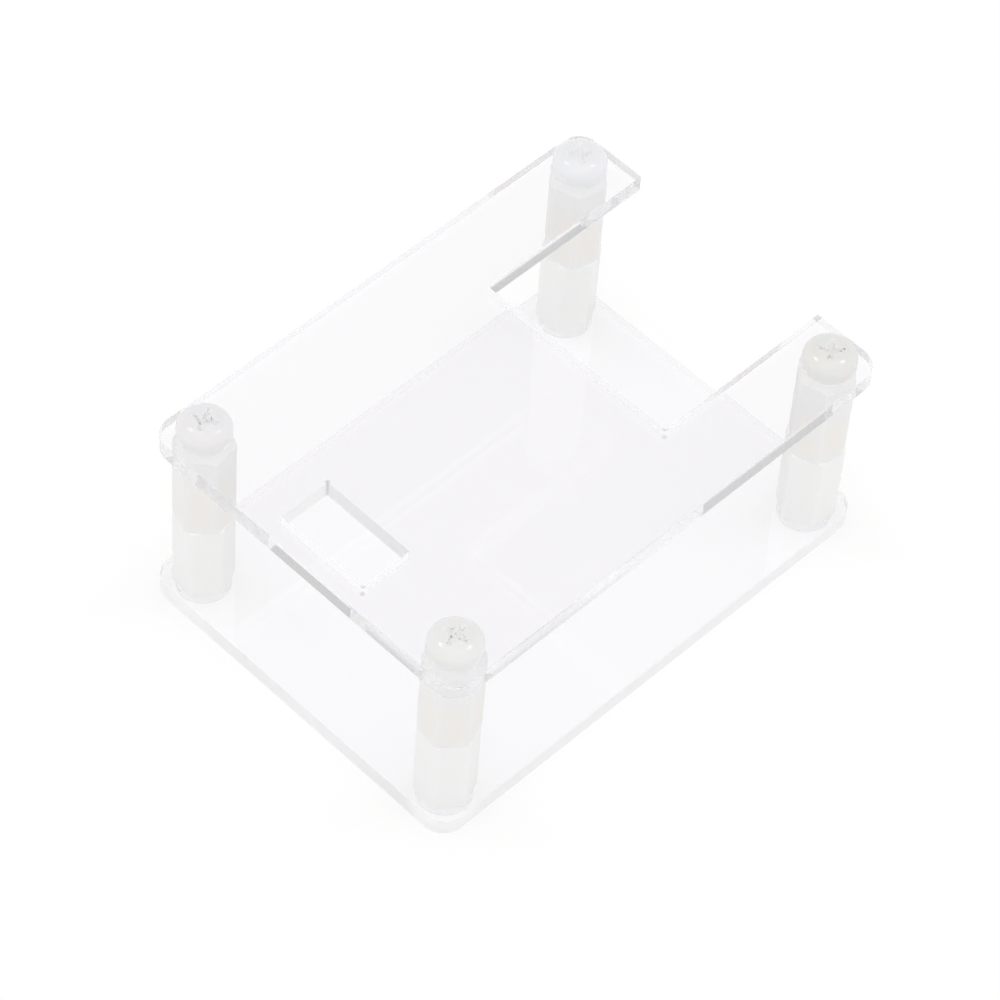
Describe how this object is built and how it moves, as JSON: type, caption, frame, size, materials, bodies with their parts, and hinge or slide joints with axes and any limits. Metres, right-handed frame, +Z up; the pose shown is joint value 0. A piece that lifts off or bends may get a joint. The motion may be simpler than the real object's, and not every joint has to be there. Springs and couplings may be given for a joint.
{
  "type": "single board computer case",
  "caption": "Open case of a bare circuit board: clear flat plates with round corners, the upper one notched and slotted, held apart by hex pillars and pan head screws.",
  "frame": {"origin": "bottom centre of the box, on the underside of the lower plate", "axes": "+X along the long side, towards the open notch of the upper plate; +Y across the plates; +Z up, towards the screw heads"},
  "size_m": [0.058, 0.0414, 0.0262],
  "materials": {
    "clear_acrylic": "polished",
    "nylon_lower": "satin",
    "nylon_upper": "satin",
    "nylon_screw": "satin"
  },
  "bodies": {
    "root": {"bottom_plate": "clear_acrylic", "top_plate": "clear_acrylic", "lower_standoff_front_left": "nylon_lower", "upper_standoff_front_left": "nylon_upper", "top_screw_front_left": "nylon_screw", "bottom_screw_front_left": "nylon_screw", "lower_standoff_front_right": "nylon_lower", "upper_standoff_front_right": "nylon_upper", "top_screw_front_right": "nylon_screw", "bottom_screw_front_right": "nylon_screw", "lower_standoff_back_left": "nylon_lower", "upper_standoff_back_left": "nylon_upper", "top_screw_back_left": "nylon_screw", "bottom_screw_back_left": "nylon_screw", "lower_standoff_back_right": "nylon_lower", "upper_standoff_back_right": "nylon_upper", "top_screw_back_right": "nylon_screw", "bottom_screw_back_right": "nylon_screw"}
  },
  "joints": []
}
